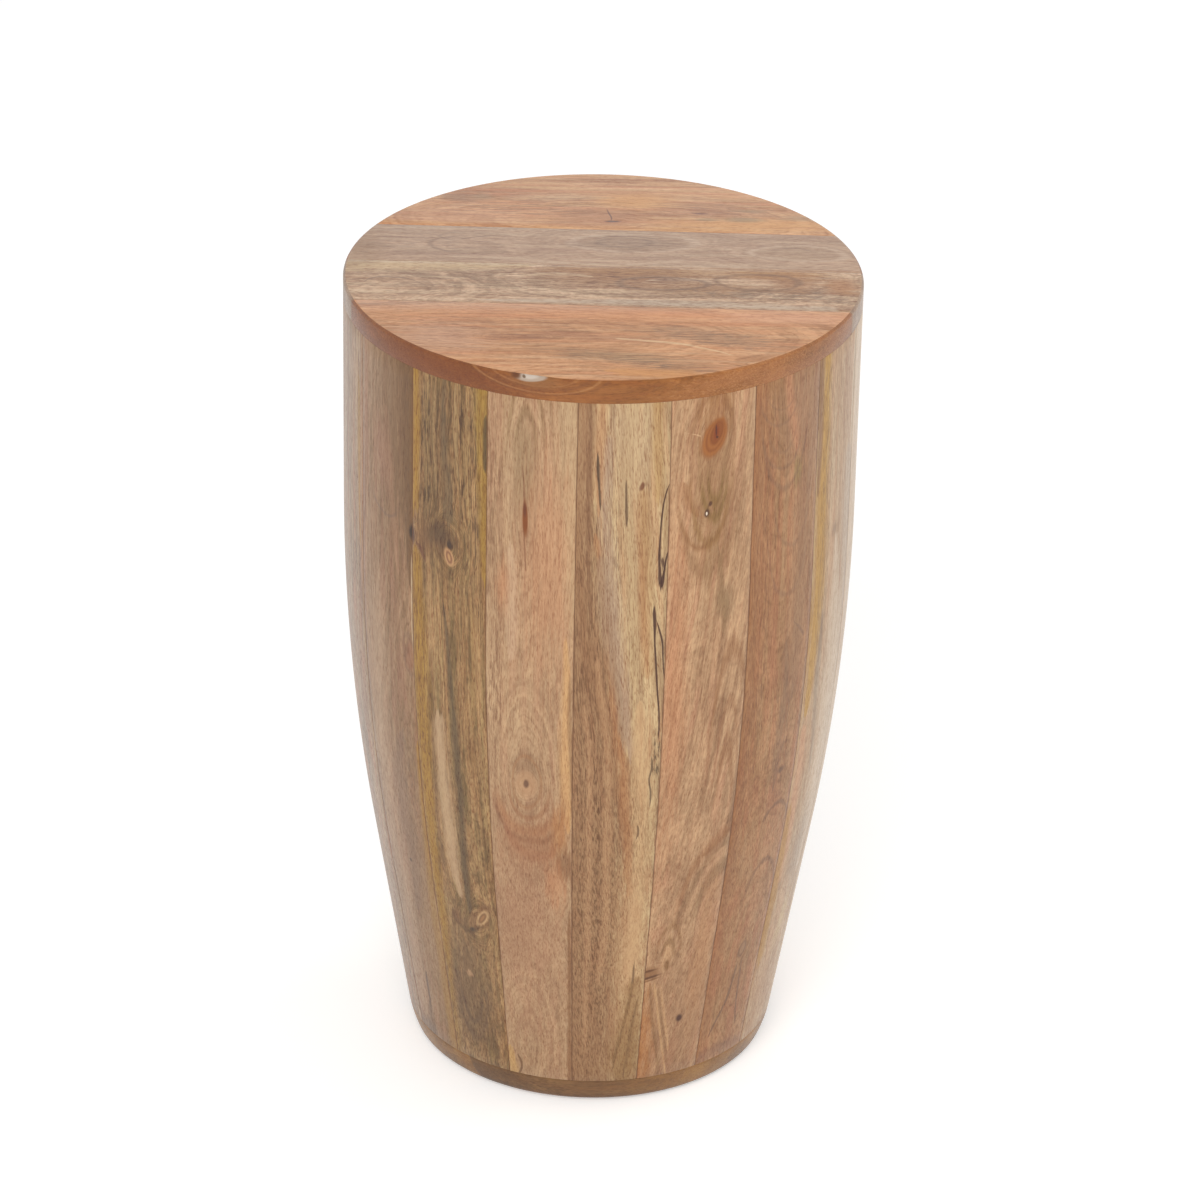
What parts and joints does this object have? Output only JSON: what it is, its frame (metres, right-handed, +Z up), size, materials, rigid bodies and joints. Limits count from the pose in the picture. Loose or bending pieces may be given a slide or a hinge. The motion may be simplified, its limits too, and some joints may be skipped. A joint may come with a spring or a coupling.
{
  "type": "drum side table",
  "caption": "Round wooden drum side table: upright staves that taper to a narrower foot, between an edge-glued top and base, for a drink, lamp or book beside a seat",
  "frame": {"origin": "on the floor, below the middle of the table", "axes": "+Z up, along the drum's axis; +Y to the back, so the side in the picture faces -Y; +X to the right as seen from there"},
  "size_m": [0.306, 0.306, 0.504],
  "materials": {
    "stave_wood": "sanded mango wood in clear satin lacquer",
    "top_wood": "sanded mango wood in clear satin lacquer",
    "base_wood": "sanded mango wood in clear satin lacquer",
    "ring_wood": "bare sawn wood",
    "screw_steel": "zinc-plated steel",
    "glide_plastic": "dark moulded plastic"
  },
  "bodies": {
    "root": {"stave_01": "stave_wood", "stave_02": "stave_wood", "stave_03": "stave_wood", "stave_04": "stave_wood", "stave_05": "stave_wood", "stave_06": "stave_wood", "stave_07": "stave_wood", "stave_08": "stave_wood", "stave_09": "stave_wood", "stave_10": "stave_wood", "stave_11": "stave_wood", "stave_12": "stave_wood", "stave_13": "stave_wood", "stave_14": "stave_wood", "stave_15": "stave_wood", "stave_16": "stave_wood", "stave_17": "stave_wood", "stave_18": "stave_wood", "top_board_1": "top_wood", "top_board_2": "top_wood", "top_board_3": "top_wood", "top_board_4": "top_wood", "base_board_1": "base_wood", "base_board_2": "base_wood", "base_board_3": "base_wood", "base_board_4": "base_wood", "upper_ring": "ring_wood", "lower_ring": "ring_wood", "top_screws": "screw_steel", "base_screws": "screw_steel", "glide_1": "glide_plastic", "glide_2": "glide_plastic", "glide_3": "glide_plastic", "glide_4": "glide_plastic"}
  },
  "joints": []
}
